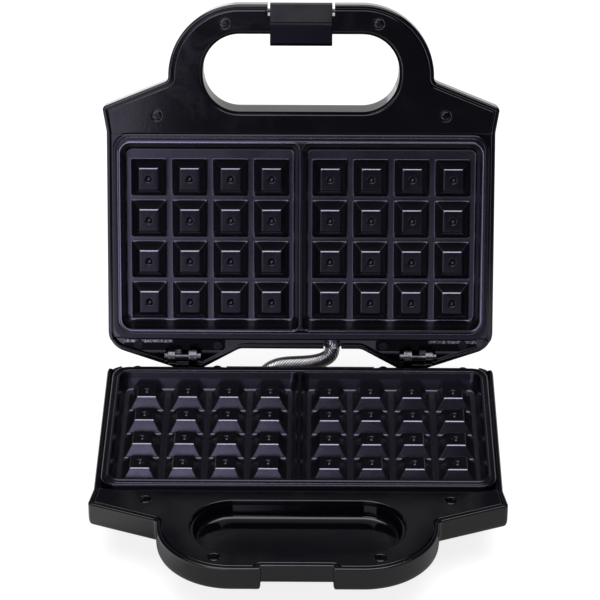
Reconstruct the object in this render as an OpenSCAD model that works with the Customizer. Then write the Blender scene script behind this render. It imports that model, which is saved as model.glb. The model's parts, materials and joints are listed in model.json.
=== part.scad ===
// Two-slice waffle maker: clamshell housing, cast waffle plates, rear hinges,
// front latch clip and a wound conduit that carries the wires to the lid.
// Each half is drawn in its own closed frame: X across, Y back from the hinge
// axis, Z away from the parting plane. The base is the mirror of that frame.

/* [Housing] */
// width over the two shoulders, mm
shoulder_w = 231.4; // [200:0.2:260]
// width of the sides behind the shoulders, mm
side_w = 227.2; // [196:0.2:256]
// distance from the hinge axis to the front of the handles, mm
handle_r = 208.8; // [190:0.2:240]
// width of the carrying handle, mm
handle_w = 153.6; // [120:0.2:180]
// distance from the hinge axis to the shoulder corners, mm
shoulder_r = 148.6; // [140:0.2:160]
// height of the moulded skirt behind the parting plane, mm
skirt_h = 17.6; // [12:0.2:24]
// depth of each housing half behind the parting plane, mm
housing_h = 36; // [30:1:50]
// wall thickness of the mouldings, mm
wall = 2.4; // [1.6:0.2:4]
// height of the hinge axis above the table, mm
hinge_z = 42; // [38:1:60]
// distance of the hinge axis behind the centre of the part, mm
hinge_y = 64.945; // [50:0.005:80]
// angle of the open lid, from closed, degrees
open_deg = 107.5; // [90:0.5:120]

/* [Finger hole] */
// width of the finger hole, mm
hole_w = 114; // [90:1:130]
// nearest edge of the hole to the hinge, mm
hole_r0 = 146; // [140:0.5:160]
// farthest edge of the hole from the hinge, mm
hole_r1 = 191.4; // [180:0.2:200]

/* [Waffle plates] */
// overall width of a plate, mm
plate_w = 219.8; // [200:0.2:240]
// rear edge of a plate from the hinge axis, mm
plate_r0 = 9.8; // [8:0.1:14]
// front edge of a plate from the hinge axis, mm
plate_r1 = 133.2; // [120:0.2:150]
// distance between studs across, mm
pitch_x = 24; // [20:0.5:28]
// distance between studs front to back, mm
pitch_y = 24.65; // [20:0.05:28]
// studs across one waffle
stud_cols = 4; // [2:1:5]
// studs front to back
stud_rows = 4; // [2:1:5]
// first stud column from the middle, mm
first_x = 17.14; // [12:0.02:24]
// first stud row from the hinge axis, mm
first_r = 32; // [24:0.1:40]
// height of a stud, mm
stud_h = 7; // [4:0.5:10]
// top of a stud across and front to back, mm
stud_top = [11.2, 12.7];
// foot of a stud across and front to back, mm
stud_foot = [20.3, 21.5];
// diameter of the dimple in each stud, mm
dimple_d = 3.6; // [0:0.2:6]

/* [Latch] */
// width of the latch clip, mm
latch_w = 36; // [24:0.2:50]
// swing of the hanging clip inward from its clipped angle, degrees
latch_fold = 80; // [0:1:85]

/* [Hinges and conduit] */
// distance of each hinge from the middle, mm
hinge_x = 69; // [50:1:90]
// diameter of the base's hinge knuckles, mm
base_knuckle_d = 9.6; // [8:0.1:11]
// diameter of the lid's hinge knuckles, mm
lid_knuckle_d = 8.4; // [7:0.1:10]
// diameter of the hinge pins, mm
hinge_pin_d = 3.2; // [2:0.1:5]
// diameter of the wound conduit, mm
conduit_d = 7.4; // [5:0.1:10]

/* [Feet] */
// diameter of the rubber feet, mm
foot_d = 15; // [10:0.5:24]
// distance of the feet from the middle, mm
foot_x = 82; // [60:1:100]

/* [Hidden] */
$fn = 48;
rim_z = 2.8;                 // edge of the shell rim
panel_z = 3.1;               // face of the inset panel
seat_z = 5.1;                // ledge that panel and plate sit on
shelf_z = 7.4;               // recessed shelf that carries the hinges
land_z = 0.7;                // flat land of the plate rim
bead_z = 0.25;               // top of the raised bead
floor_z = 3.6 + stud_h;      // floor between the studs
plate_back = floor_z + 2.2;
element_z = plate_back + 3.6;
reflector_z = 22;
hw = handle_w / 2;
sw = side_w / 2;
plate_hw = plate_w / 2;
latch_r0 = handle_r - 3.8;           // latch pin, from the hinge axis
latch_z0 = 5.2;
clip_a = 4.5;                // pin to outer face of the clip
clip_t = 2.4;
hook_z = 13.7;               // catch edge of the base notch, below the parting plane
notch_hw = latch_w / 2 + 1.4;
shoulder_screw = [84, 143.8];
handle_screw = [44.6, 197.7];
hinge_screw = [[49, 5.6], [96, 6.2]];
post_xy = [[94.5, 28.5], [94.5, 112.5]];
foot_r = [20, 112];
conduit_x = 19;              // where the conduit leaves the lid

// ---- profile helpers ----
function unit(v) = v / norm(v);
function cross2(a, b) = a[0] * b[1] - a[1] * b[0];
function at(p, i) = p[(i + len(p)) % len(p)];
function turn(p, i) = sign(cross2(at(p, i) - at(p, i - 1), at(p, i + 1) - at(p, i)));
// moves every edge of an anticlockwise outline inward by d
function inset(p, d) = [for (i = [0:len(p) - 1])
    let (u = unit(at(p, i) - at(p, i - 1)), v = unit(at(p, i + 1) - at(p, i)),
         nu = [-u[1], u[0]], nv = [-v[1], v[0]])
    p[i] + d * (nu + nv) / (1 + nu * nv)];
// replaces corner b by an arc of radius r in n steps
function fillet(a, b, c, r, n) =
    let (u = unit(a - b), v = unit(c - b), half = acos(u * v) / 2,
         o = b + unit(u + v) * r / sin(half), k = r / tan(half),
         s = b + u * k - o, e = b + v * k - o,
         a0 = atan2(s[1], s[0]), da = atan2(cross2(s, e), s * e))
    [for (i = [0:n]) o + r * [cos(a0 + da * i / n), sin(a0 + da * i / n)]];
// outline p with corner radii rad, moved inward by d
function ring(p, rad, d = 0, n = 6) = let (q = inset(p, d))
    [for (i = [0:len(q) - 1]) each fillet(at(q, i - 1), q[i], at(q, i + 1),
        max(0.4, rad[i] - d * turn(p, i)), n)];
// right half of an outline, front to rear, joined to its mirror image
function both(h) = concat(h, [for (i = [len(h) - 1:-1:0]) [-h[i][0], h[i][1], h[i][2]]]);
function pts(h) = [for (v = h) [v[0], v[1]]];
function rads(h) = [for (v = h) v[2]];
function box_outline(x0, x1, r0, r1, r) = [[x1, -r1, r], [x1, -r0, r], [x0, -r0, r], [x0, -r1, r]];

// skins rings of equal length, stacked along Z; a hoop has no caps and closes on its first ring
module loft_rings(rr, zz, hoop = false) {
    n = len(rr[0]);
    m = len(rr);
    polyhedron(
        points = [for (i = [0:m - 1]) for (p = rr[i]) [p[0], p[1], zz[i]]],
        faces = concat(hoop ? [] : [[for (j = [0:n - 1]) j]],
            [for (i = [0:hoop ? m - 1 : m - 2]) for (j = [0:n - 1]) for (t = [0, 1])
                let (k = (j + 1) % n, w = (i + 1) % m, a = i * n + j, b = w * n + j,
                     c = w * n + k, e = i * n + k)
                t == 0 ? [a, b, c] : [a, c, e]],
            hoop ? [] : [[for (j = [n - 1:-1:0]) (m - 1) * n + j]]));
}
// zd is a list of [z, inset] that the outline h is lofted through
module loft(h, zd, n = 6, hoop = false) {
    loft_rings([for (v = zd) ring(pts(h), rads(h), v[1], n)], [for (v = zd) v[0]], hoop);
}
module slab(h, z0, z1, d = 0, n = 6) {
    translate([0, 0, z0]) linear_extrude(z1 - z0) polygon(ring(pts(h), rads(h), d, n));
}
module frame(h, z0, z1, d0, d1, n = 6) {
    translate([0, 0, z0]) linear_extrude(z1 - z0) difference() {
        polygon(ring(pts(h), rads(h), d0, n));
        polygon(ring(pts(h), rads(h), d1, n));
    }
}

// ---- outlines: [x, y, corner radius], anticlockwise, right half first ----
front_half = [[hw, -handle_r, 42], [hw + 0.4, -164.2, 3], [shoulder_w / 2, -shoulder_r, 2.5],
              [sw - 0.4, -134, 6]];
lid_outline = both(concat(front_half, [[sw, -5, 13], [74, 8.2, 9], [58, 8.2, 5], [36, -3.7, 8]]));
base_outline = both(concat(front_half, [[sw, -1.5, 11]]));
panel_outline = both([[hw, -handle_r, 42], [hw + 0.4, -164.2, 3],
                      [shoulder_w / 2, -shoulder_r, 2.5], [sw - 0.4, -129.9, 4]]);
bowl_outline = box_outline(-sw + 0.8, sw - 0.8, 3.7, 133, 15);
cavity_outline = box_outline(-sw + 0.8, sw - 0.8, 3.7, 133, 9.5);
plate_outline = box_outline(-plate_hw, plate_hw, plate_r0, plate_r1, 9.5);
bead_outline = box_outline(-106.7, 106.7, 15, 129.3, 7.4);
groove_outline = box_outline(-107.4, 107.4, 14, 131.6, 8);
hole_outline = box_outline(-hole_w / 2, hole_w / 2, hole_r0, hole_r1, 21.5);

module in_base() translate([0, hinge_y, hinge_z]) mirror([0, 0, 1]) children();
module in_lid() translate([0, hinge_y, hinge_z]) rotate([-open_deg, 0, 0]) children();
module pair() { children(); mirror([1, 0, 0]) children(); }
module post(p, z0, z1, d) translate([p[0], -p[1], z0]) cylinder(h = z1 - z0, d = d);
module block(x0, x1, r0, r1, z0, z1) translate([x0, -r1, z0]) cube([x1 - x0, r1 - r0, z1 - z0]);

// ---- one housing half, solid where nothing opens into it ----
module half_skin(outline) {
    // the rim is rounded in small steps, and the skirt turns in below the straight side
    for (s = [[rim_z, 0.9], [rim_z + 0.25, 0.45], [rim_z + 0.6, 0.15], [rim_z + 1.2, 0]])
        slab(outline, s[0], 12, s[1]);
    loft(outline, [[11.4, 9], [11.4, 2], [11.7, 0.04], [12.3, 0.04], [15.4, 0.3], [16.8, 0.9],
                   [skirt_h, 2.2], [skirt_h, 9]], hoop = true);
    slab(outline, 11, skirt_h - 0.1, 8);
    loft(bowl_outline, [[6, 1], [10, -0.2], [16, -1.1], [22, -0.5], [27, 2.2], [31.5, 7],
                        [34.6, 13], [housing_h, 21]]);
}
module half_cavity(ear_w, ear_r) {
    loft(cavity_outline, [[seat_z - 0.1, 5], [16, wall + 2.2], [22, wall + 2.2], [27, wall + 4],
                        [31, wall + 9], [33.4, wall + 16]]);
    // stepped seats for the plate and for the inset panel, with the rim kept round the notch
    slab(plate_outline, 1, seat_z, -0.4);
    difference() {
        slab(panel_outline, 1, seat_z, 2.6);
        block(-notch_hw - ear_w, notch_hw + ear_w, ear_r, 220, 0, 8);
    }
}
module half_screw_holes() {
    for (p = [shoulder_screw, handle_screw]) pair() post(p, 1, 13.2, 2.9);
}
module rear_shelf(outline) {
    // recess behind the plate, left open under the parting plane
    difference() {
        slab(box_outline(-200, 200, -20, plate_r0 - 0.3, 0.5), 0, shelf_z);
        frame(outline, 4.5, shelf_z + 1, -0.1, 2);
    }
}

module base_shell() color([0.05, 0.05, 0.06]) in_base() {
    difference() {
        union() {
            half_skin(base_outline);
            // bosses for the rear feet, where the bowl already curves up
            pair() post([foot_x, foot_r[0]], 30.5, 35.7, foot_d + 3);
        }
        half_cavity(2.2, handle_r - 5.2);
        half_screw_holes();
        difference() {
            slab(box_outline(-200, 200, -20, plate_r0 - 0.3, 0.5), 0, shelf_z);
            frame(base_outline, 5.2, shelf_z + 1, -0.1, 2);
        }
        pair() block(43.6, 105.6, -5, 4, 0, shelf_z);
        // closed finger pocket under the handle panel, with a curved floor
        loft(hole_outline, [[1, 0.6], [seat_z, 0.6], [8, 1.4], [10.6, 3.6], [12.4, 7.5],
                            [13.2, 13]]);
        // latch notch and the undercut that the hook catches
        block(-notch_hw, notch_hw, handle_r - 3, 230, 0, 30);
        block(-notch_hw, notch_hw, handle_r - 9.4, 230, hook_z - 0.3, 30);
        // inlet for the cord, entry for the conduit, pilots for hinge screws
        translate([58, 20, 22]) rotate([90, 0, 0]) cylinder(h = 40, d = 11);
        translate([-25, 20, 20.5]) rotate([90, 0, 0]) cylinder(h = 34, d = 11);
        pair() for (p = hinge_screw) post(p, 6, 13, 2.5);
        pair() for (r = foot_r) {
            post([foot_x, r], 29, 40, 2.8);
            post([foot_x, r], 34.8, 40, foot_d + 0.1);
        }
        // cooling slots in the floor
        for (x = [-36:12:36]) block(x - 2, x + 2, 52, 92, 30, 40);
    }
}
module lid_shell() color([0.05, 0.05, 0.06]) in_lid() {
    difference() {
        half_skin(lid_outline);
        half_cavity(1.2, handle_r - 7);
        half_screw_holes();
        rear_shelf(lid_outline);
        // finger hole, drawn in toward the outside
        loft(hole_outline, [[1, 0.4], [seat_z, 0.4], [9, 0.9], [19, 3.2]]);
        // open notch that the latch clip swings in
        block(-notch_hw, notch_hw, handle_r - 6.8, 230, 0, 30);
        translate([-notch_hw - 2, -latch_r0, latch_z0]) rotate([0, 90, 0])
            cylinder(h = 2 * notch_hw + 4, d = 2.4);
        // slot for the conduit
        block(conduit_x - 5.2, conduit_x + 5.2, -12, 12.5, 1, 15.5);
        pair() for (p = hinge_screw) post(p, 6, 13, 2.5);
        // windows for the two lamps
        for (x = [-14, 14]) translate([x, -108, 25]) cylinder(h = 20, d = 8.2);
    }
}

module half_panel() {
    difference() {
        slab(panel_outline, panel_z, seat_z, 3.5);
        slab(hole_outline, 1, 7);
        for (p = [shoulder_screw, handle_screw]) pair() {
            post(p, 2, panel_z + 1, 6.8);
            post(p, 2, 7, 3.4);
        }
    }
}
module base_panel() color([0.07, 0.07, 0.09]) in_base() difference() {
    half_panel();
    block(-notch_hw - 3, notch_hw + 3, handle_r - 6, 230, 0, 30);
}
module lid_panel() color([0.07, 0.07, 0.09]) in_lid() difference() {
    half_panel();
    block(-notch_hw - 1.5, notch_hw + 1.5, handle_r - 7.2, 230, 0, 30);
}

// ---- waffle plate ----
field_x0 = first_x - stud_foot[0] / 2;
field_x1 = first_x + (stud_cols - 1) * pitch_x + stud_foot[0] / 2;
field_r0 = first_r - stud_foot[1] / 2;
field_r1 = first_r + (stud_rows - 1) * pitch_y + stud_foot[1] / 2;
// toothed profile of a row of studs: n teeth, pitch p, foot f, top t
function comb(n, p, f, t, h, x0) = concat([[x0 - f, h + 1.5], [x0 - f, h]],
    [for (i = [0:n - 1]) each [[x0 + i * p - f / 2, h], [x0 + i * p - t / 2, 0],
                               [x0 + i * p + t / 2, 0], [x0 + i * p + f / 2, h]]],
    [[x0 + (n - 1) * p + f, h], [x0 + (n - 1) * p + f, h + 1.5]]);
module studs() {
    top_z = floor_z - stud_h;
    // the two combs cross, and what they share is the field of truncated pyramids
    difference() {
        intersection() {
            translate([0, -field_r0 + 20, top_z]) rotate([90, 0, 0]) linear_extrude(160)
                polygon(comb(stud_cols, pitch_x, stud_foot[0], stud_top[0], stud_h, first_x));
            translate([field_x0 - 20, 0, top_z]) rotate([90, 0, 90]) linear_extrude(140)
                polygon([for (v = comb(stud_rows, pitch_y, stud_foot[1], stud_top[1], stud_h,
                                       first_r)) [-v[0], v[1]]]);
            block(field_x0 - 1, field_x1 + 1, field_r0 - 1, field_r1 + 1, 0, floor_z + 0.6);
        }
        for (i = [0:stud_cols - 1]) for (j = [0:stud_rows - 1])
            translate([first_x + i * pitch_x, -first_r - j * pitch_y, top_z - 1])
                cylinder(h = 2.3, d1 = dimple_d + 0.6, d2 = dimple_d - 1.2, $fn = 20);
    }
}
module waffle_cavity() {
    loft_rings([ring(pts(box_outline(1.0, 105.7, 16.2, 127.6, 1)), [7, 7, 3, 3], 0, 5),
                ring(pts(box_outline(1.4, 105.3, 16.6, 127.1, 1)), [7, 7, 3, 3], 0, 5),
                ring(pts(box_outline(3.6, 103.0, 19.4, 123.7, 1)), [4.5, 4.5, 2, 2], 0, 5),
                ring(pts(box_outline(4.4, 102.2, 20.4, 122.9, 1)), [4, 4, 1.6, 1.6], 0, 5)],
               [-0.5, 1.2, floor_z - 0.7, floor_z]);
}
module half_plate() {
    difference() {
        union() {
            loft(plate_outline, [[land_z - 0.1, 2.3], [1.2, 1], [2, 0.3], [3, 0], [seat_z, 0]]);
            loft(plate_outline, [[seat_z - 1, 5.4], [plate_back - 1.5, 5.7], [plate_back, 7]]);
            frame(bead_outline, bead_z, 2, 0, 3.2);
            for (p = post_xy) pair() post(p, plate_back - 1, reflector_z, 8);
        }
        pair() waffle_cavity();
        frame(groove_outline, -1, land_z + 0.35, 0, 0.6);
        for (p = post_xy) pair() post(p, plate_back + 2, reflector_z + 1, 2.8);
        // seats for the thermostat screw
        post([0, 70], plate_back - 0.8, plate_back + 1, 2.8);
    }
    pair() studs();
}
module lower_plate() color([0.16, 0.16, 0.2]) in_base() half_plate();
module upper_plate() color([0.16, 0.16, 0.2]) in_lid() half_plate();

// ---- tubular heater: a loop of straight runs and bends ----
el_x = 84; el_r0 = 30; el_r1 = 112; el_b = 14; el_d = 6.6;
module bend(x, r, a) translate([x, -r, element_z]) rotate([0, 0, a])
    rotate_extrude(angle = 90) translate([el_b, 0]) circle(d = el_d, $fn = 20);
module run(p, q) {
    v = q - p;
    translate([p[0], -p[1], element_z]) rotate([0, 0, atan2(-v[1], v[0])]) rotate([0, 90, 0])
        cylinder(h = norm(v), d = el_d, $fn = 20);
}
module half_element() {
    run([-el_x + el_b, el_r1], [el_x - el_b, el_r1]);
    pair() {
        bend(el_x - el_b, el_r1 - el_b, -90);
        run([el_x, el_r1 - el_b], [el_x, el_r0 + el_b]);
        bend(el_x - el_b, el_r0 + el_b, 0);
        run([el_x - el_b, el_r0], [46, el_r0]);
        // cold pins and their ceramic ends
        translate([46, -el_r0, element_z]) rotate([0, -90, 0]) cylinder(h = 9, d = el_d + 0.5);
        translate([37, -el_r0, element_z]) rotate([0, -90, 0]) cylinder(h = 8, d = 2.4);
    }
}
module lower_element() color([0.45, 0.45, 0.47]) in_base() half_element();
module upper_element() color([0.45, 0.45, 0.47]) in_lid() half_element();

module half_reflector() {
    difference() {
        union() {
            slab(box_outline(-101, 101, 21, 119.5, 9), reflector_z, reflector_z + 0.6);
            frame(box_outline(-101, 101, 21, 119.5, 9), reflector_z - 4, reflector_z + 0.1, 0, 0.6);
        }
        for (p = post_xy) pair() post(p, 20, 24, 3.2);
        block(-24, 24, 60, 80, 20, 24);
        pair() block(25, 40, 25, 35, 20, 24);
    }
}
module lower_reflector() color([0.75, 0.76, 0.78]) in_base() half_reflector();
module upper_reflector() color([0.75, 0.76, 0.78]) in_lid() half_reflector();

module half_plate_screws() for (p = post_xy) pair() difference() {
    union() {
        post(p, reflector_z + 0.6, reflector_z + 2.6, 6);
        post(p, plate_back + 2.4, reflector_z + 0.6, 2.8);
    }
    screw_cross(p, reflector_z + 1.9, 2);
}
module screw_cross(p, z, h) translate([p[0], -p[1], z + h / 2]) {
    cube([3.4, 0.8, h], center = true);
    cube([0.8, 3.4, h], center = true);
}
module half_panel_screws() for (p = [shoulder_screw, handle_screw]) pair() difference() {
    union() {
        post(p, panel_z + 0.25, panel_z + 1, 6.2);
        post(p, panel_z + 1, 13, 2.9);
    }
    screw_cross(p, panel_z, 0.8);
}
module lower_plate_screws() color([0.6, 0.6, 0.62]) in_base() half_plate_screws();
module upper_plate_screws() color([0.6, 0.6, 0.62]) in_lid() half_plate_screws();
module base_panel_screws() color([0.12, 0.12, 0.13]) in_base() half_panel_screws();
module lid_panel_screws() color([0.12, 0.12, 0.13]) in_lid() half_panel_screws();

module lower_thermostat() color([0.85, 0.82, 0.74]) in_base() {
    post([0, 70], plate_back, plate_back + 1.2, 17);
    post([0, 70], plate_back + 1.2, plate_back + 8, 14.5);
    for (s = [-1, 1]) block(s * 11 - 4, s * 11 + 4, 67, 73, plate_back + 5.4, plate_back + 6.2);
}
module fuse_body() {
    translate([-9, 0, 0]) rotate([0, 90, 0]) cylinder(h = 18, d = 4.4);
    for (s = [-1, 1]) translate([s * 13, 0, 0]) rotate([0, 90, 0])
        cylinder(h = 8, d = 1.1, center = true);
}
module lower_thermal_fuse() color([0.88, 0.86, 0.8]) in_base()
    translate([42, -62, plate_back + 2.3]) fuse_body();
module upper_thermal_fuse() color([0.88, 0.86, 0.8]) in_lid()
    translate([0, -70, plate_back + 2.3]) fuse_body();

// ---- feet ----
module feet() color([0.1, 0.1, 0.1]) in_base() pair() for (r = foot_r) difference() {
    translate([foot_x, -r, 0]) rotate_extrude() polygon([[0, 34.9], [foot_d / 2, 34.9],
        [foot_d / 2, hinge_z - 1.6], [foot_d / 2 - 0.5, hinge_z - 0.5],
        [foot_d / 2 - 1.6, hinge_z], [0, hinge_z]]);
    post([foot_x, r], 30, 50, 3.2);
    post([foot_x, r], hinge_z - 3, 50, 6.6);
}
module foot_screws() color([0.6, 0.6, 0.62]) in_base() pair() for (r = foot_r) difference() {
    union() {
        post([foot_x, r], hinge_z - 3, hinge_z - 1.2, 6);
        post([foot_x, r], 29.5, hinge_z - 3, 2.8);
    }
    screw_cross([foot_x, r], hinge_z - 2, 2);
}

// ---- hinges: a base knuckle and a lid knuckle side by side, on one pin between them ----
module knuckle(x0, x1, d) translate([x0, 0, 0]) rotate([0, 90, 0]) cylinder(h = x1 - x0, d = d);
module leaf(x0, x1, d) block(x0, x1, d / 2 - 2.3, d / 2, 0, shelf_z);
module flange() difference() {
    slab([[104.5, -9, 1], [104.5, -5.6, 1], [94, -2.4, 2], [44.6, -2.4, 2], [44.6, -9, 2]],
         5.6, shelf_z);
    for (p = hinge_screw) post(p, 5, 9, 2.9);
}
module pin_bore() translate([hinge_x - 30, 0, 0]) rotate([0, 90, 0])
    cylinder(h = 60, d = hinge_pin_d + 0.06);
module base_hinge() difference() {
    union() {
        knuckle(hinge_x - 7.8, hinge_x - 3.2, base_knuckle_d);
        leaf(hinge_x - 7.8, hinge_x - 3.2, base_knuckle_d);
        flange();
    }
    pin_bore();
}
module lid_hinge() difference() {
    union() {
        knuckle(hinge_x + 5, hinge_x + 9.1, lid_knuckle_d);
        leaf(hinge_x + 1.5, hinge_x + 9.1, lid_knuckle_d);
        flange();
    }
    pin_bore();
}
module hinge_pin() {
    translate([hinge_x - 9, 0, 0]) rotate([0, 90, 0]) cylinder(h = 20, d = hinge_pin_d);
    translate([hinge_x - 10.2, 0, 0]) rotate([0, 90, 0]) cylinder(h = 2.2, d = 5.6);
    translate([hinge_x + 9.6, 0, 0]) rotate([0, 90, 0]) cylinder(h = 1.6, d = 5.6);
}
module hinge_screws() pair() for (p = hinge_screw) difference() {
    union() {
        post(p, 4.2, 5.6, 5);
        post(p, 5.6, 12.8, 2.5);
    }
    screw_cross(p, 3.4, 1.4);
}
module base_hinge_right() color([0.14, 0.14, 0.15]) in_base() base_hinge();
module base_hinge_left() color([0.14, 0.14, 0.15]) in_base() mirror([1, 0, 0]) base_hinge();
module lid_hinge_right() color([0.14, 0.14, 0.15]) in_lid() lid_hinge();
module lid_hinge_left() color([0.14, 0.14, 0.15]) in_lid() mirror([1, 0, 0]) lid_hinge();
module hinge_pin_right() color([0.55, 0.55, 0.57]) in_base() hinge_pin();
module hinge_pin_left() color([0.55, 0.55, 0.57]) in_base() mirror([1, 0, 0]) hinge_pin();
module base_hinge_screws() color([0.3, 0.3, 0.32]) in_base() hinge_screws();
module lid_hinge_screws() color([0.3, 0.3, 0.32]) in_lid() hinge_screws();

// ---- cord inlet, terminals and the conduit between the halves ----
module cord_gland() color([0.08, 0.08, 0.08]) in_base() translate([58, 0, 22]) difference() {
    union() {
        translate([0, 1.6, 0]) rotate([90, 0, 0]) cylinder(h = 3, d = 15);
        translate([0, 0, 0]) rotate([90, 0, 0]) cylinder(h = 9, d = 10.9);
    }
    translate([0, 5, 0]) rotate([90, 0, 0]) cylinder(h = 20, d = 6.4);
}
module terminal_block() color([0.9, 0.9, 0.86]) in_base() difference() {
    block(44, 72, 38, 52, 23.2, 31);
    for (x = [50, 58, 66]) {
        translate([x, -30, 27]) rotate([90, 0, 0]) cylinder(h = 30, d = 3);
        post([x, 45], 28, 32, 4);
    }
}
module conduit_collar() color([0.2, 0.2, 0.21]) in_base() translate([-25, 0, 20.5]) difference() {
    union() {
        rotate([90, 0, 0]) cylinder(h = 9, d = 10.9);
        translate([0, 0.6, 0]) rotate([90, 0, 0]) cylinder(h = 2.1, d = 13.4);
    }
    translate([0, 5, 0]) rotate([90, 0, 0]) cylinder(h = 20, d = conduit_d + 1.4);
}
// route of the conduit at rest, from the lid slot to the collar: x, y back, z up
route = [[19, 12.2, 7.2], [19, 11.4, 5], [19, 10.4, 2.2], [18.8, 9.6, -0.8], [17.8, 9.2, -3.8],
         [15.4, 9.3, -6.4], [11.6, 9.6, -8.4], [7, 9.9, -9.7], [2, 10, -10.3], [-3, 10, -10.6],
         [-8, 9.8, -10.9], [-12.8, 9.4, -11.6], [-17, 8.4, -12.9], [-20.4, 6.8, -14.8],
         [-22.9, 4.6, -17.2], [-24.6, 2, -19.6], [-25, -1.6, -20.5], [-25, -6, -20.5]];
function catmull(p, i, t) = let (a = p[max(i - 1, 0)], b = p[i], c = p[i + 1],
    d = p[min(i + 2, len(p) - 1)])
    0.5 * (2 * b + (c - a) * t + (2 * a - 5 * b + 4 * c - d) * t * t
           + (3 * b - a - 3 * c + d) * t * t * t);
function tube_ring(p, i, r, n) = let (t = unit(at2(p, i + 1) - at2(p, i - 1)),
    u = unit(cross(t, [0, 0.3, 1])), v = cross(t, u))
    [for (k = [0:n - 1]) p[i] + r * (u * cos(360 * k / n) + v * sin(360 * k / n))];
function at2(p, i) = p[max(0, min(len(p) - 1, i))];
module sweep(p, r, n) {
    m = len(p);
    polyhedron(points = [for (i = [0:m - 1]) each tube_ring(p, i, r, n)],
        faces = concat([[for (j = [0:n - 1]) j]],
            [for (i = [0:m - 2]) for (j = [0:n - 1]) for (t = [0, 1])
                let (k = (j + 1) % n, a = i * n + j, b = (i + 1) * n + j,
                     c = (i + 1) * n + k, e = i * n + k)
                t == 0 ? [a, b, c] : [a, c, e]],
            [[for (j = [n - 1:-1:0]) (m - 1) * n + j]]));
}
fine_route = [for (i = [0:len(route) - 2]) each [catmull(route, i, 0), catmull(route, i, 0.5)]];
module flex_conduit() color([0.6, 0.6, 0.62]) translate([0, hinge_y, hinge_z])
    sweep(concat(fine_route, [route[len(route) - 1]]), conduit_d / 2, 14);

// ---- lamps in the lid ----
module lens(x) translate([x, -108, 0]) rotate_extrude() polygon([[0, 31.4], [5, 31.4], [5, 32.4],
    [4, 32.4], [4, 36], [3.4, 36.7], [2, 37.1], [0, 37.2]]);
module power_lens() color([0.8, 0.08, 0.05]) in_lid() lens(-14);
module ready_lens() color([0.1, 0.65, 0.2]) in_lid() lens(14);
module lamp_holder() color([0.8, 0.78, 0.7]) in_lid() difference() {
    block(-22, 22, 102.5, 113.5, 26.5, 31.2);
    for (x = [-14, 14]) post([x, 108], 28.2, 33, 6);
}

// ---- latch ----
// clip section in the clipped position: x is the distance in front of the pin, y is up
clip_profile = [[0, 3.4], [1.2, 4.3], [2.6, 4.6], [clip_a - 0.9, 4.5], [clip_a, 3.6],
    [clip_a, -8.6], [clip_a - 0.25, -9.2], [clip_a - 0.9, -9.6], [clip_a - 1.05, -10.6],
    [clip_a - 0.75, -11.9], [clip_a - 0.25, -12.7], [clip_a - 0.1, -15],
    [clip_a - 0.25, -19.1], [clip_a - 0.8, -20.6], [clip_a - 1.9, -21.3],
    [-1.2, -21.3], [-2.6, -20.6], [-2.8, -19.7], [-2.4, -18.9],
    [1.6, -18.9], [2.1, -18.4], [clip_a - clip_t, -2.6], [1, -2.5], [-1.4, -2.2]];
module latch_clip() color([0.17, 0.165, 0.175]) in_lid()
    translate([0, -latch_r0, latch_z0]) rotate([latch_fold, 0, 0]) difference() {
        union() {
            rotate([90, 0, -90]) translate([0, 0, -latch_w / 2]) linear_extrude(latch_w)
                polygon(clip_profile);
            rotate([0, 90, 0]) cylinder(h = latch_w, d = 5.2, center = true);
        }
        rotate([0, 90, 0]) cylinder(h = latch_w + 2, d = 2.5, center = true);
    }
module latch_pin() color([0.55, 0.55, 0.57]) in_lid()
    translate([-notch_hw - 1.1, -latch_r0, latch_z0]) rotate([0, 90, 0])
        cylinder(h = 2 * notch_hw + 2.2, d = 2.4);

base_shell();
base_panel();
lower_plate();
lower_element();
lower_reflector();
lower_thermostat();
lower_thermal_fuse();
lower_plate_screws();
base_panel_screws();
feet();
foot_screws();
base_hinge_left();
base_hinge_right();
hinge_pin_left();
hinge_pin_right();
base_hinge_screws();
terminal_block();
cord_gland();
conduit_collar();
flex_conduit();
lid_shell();
lid_panel();
upper_plate();
upper_element();
upper_reflector();
upper_thermal_fuse();
upper_plate_screws();
lid_panel_screws();
lid_hinge_left();
lid_hinge_right();
lid_hinge_screws();
power_lens();
ready_lens();
lamp_holder();
latch_pin();
latch_clip();
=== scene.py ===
"""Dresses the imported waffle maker: housings, panels, their screws, waffle plates, conduit and
latch. The CAD's other nodes, such as the hinges and the feet, keep their shape and get a finish.

Shapes are worked out in the frame of one closed half, in millimetres: X across, Y back from the
hinge axis, Z away from the parting plane. place() turns them into the row frame, in metres.
"""
import json
import math

import bmesh
import bpy
import numpy as np
from bpy.props import FloatProperty, FloatVectorProperty, PointerProperty
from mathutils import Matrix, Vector, geometry


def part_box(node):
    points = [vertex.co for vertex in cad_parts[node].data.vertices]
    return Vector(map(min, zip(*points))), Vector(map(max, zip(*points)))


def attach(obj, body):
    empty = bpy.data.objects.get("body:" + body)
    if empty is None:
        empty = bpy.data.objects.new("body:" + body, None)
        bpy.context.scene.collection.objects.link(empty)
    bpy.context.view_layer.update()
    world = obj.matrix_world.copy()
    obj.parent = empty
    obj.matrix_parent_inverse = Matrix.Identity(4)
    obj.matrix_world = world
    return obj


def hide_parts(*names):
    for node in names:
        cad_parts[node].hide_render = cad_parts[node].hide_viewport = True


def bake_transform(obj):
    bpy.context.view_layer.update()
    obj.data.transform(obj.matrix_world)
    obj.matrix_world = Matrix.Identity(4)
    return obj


bl_info = {
    "name": "Waffle maker",
    "version": (1, 0, 0),
    "blender": (4, 5, 0),
    "location": "3D View > Sidebar > Waffle maker",
    "description": "Builds the looks of a two-slice waffle maker round its packed frame",
    "category": "Object",
}

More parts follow.
